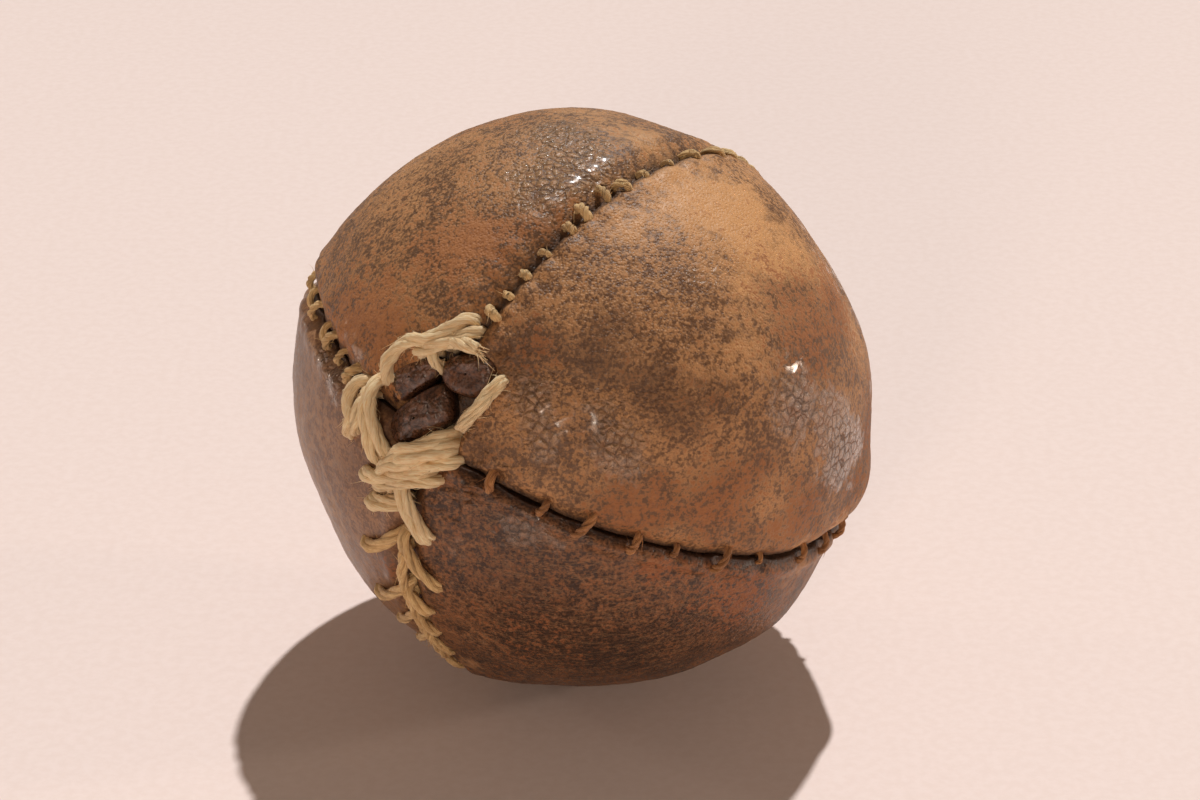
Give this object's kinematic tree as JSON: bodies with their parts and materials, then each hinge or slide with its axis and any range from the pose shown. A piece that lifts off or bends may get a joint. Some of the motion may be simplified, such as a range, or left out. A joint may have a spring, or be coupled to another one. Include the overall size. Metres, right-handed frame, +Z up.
{
  "type": "hand-stitched leather ball",
  "caption": "Old hand-stitched stuffed leather ball: gore panels sewn with twine along seams that meet in a lashed closing, over a wound and padded core.",
  "frame": {"origin": "on the worn flat that the ball stands on, straight below the ball's centre", "axes": "+Z up; +X to the right and -Y to the front, where the lashed closing faces the viewer's left"},
  "size_m": [0.0741, 0.0755, 0.074],
  "materials": {
    "cork": "granular, matt",
    "yarn": "wound woollen yarn, matt",
    "wool": "packed loose wool, matt",
    "right_leather": "tan leather, crackled and worn, semi-gloss",
    "upper_leather": "brown leather with rusty patches, crackled, semi-gloss",
    "left_leather": "dark brown leather, smooth and rubbed, semi-gloss",
    "lower_leather": "dark brown leather, finely scratched, satin",
    "tab_leather": "very dark folded leather, glossy",
    "waxed_twine": "waxed linen twine, darkened",
    "twine": "golden linen twine, plied",
    "lashing_cord": "thicker plied cord, dry"
  },
  "bodies": {
    "root": {"cork_core": "cork", "yarn_winding": "yarn", "wool_stuffing": "wool", "right_wool_pad": "wool", "upper_wool_pad": "wool", "left_wool_pad": "wool", "lower_wool_pad": "wool", "right_panel": "right_leather", "upper_panel": "upper_leather", "left_panel": "left_leather", "lower_panel": "lower_leather", "closing_tab_inner": "tab_leather", "closing_tab_side": "tab_leather", "closing_tab_outer": "tab_leather", "right_seam_twine": "waxed_twine", "upper_seam_twine": "twine", "left_seam_twine": "twine", "lower_seam_twine": "twine", "closing_loop": "lashing_cord", "loop_end": "lashing_cord", "front_strand_outer": "lashing_cord", "front_strand_inner": "lashing_cord", "closing_knot": "lashing_cord", "cross_lashing": "lashing_cord", "spine_lashing": "lashing_cord", "long_stitch": "lashing_cord", "rear_pole_stitches": "twine"}
  },
  "joints": []
}
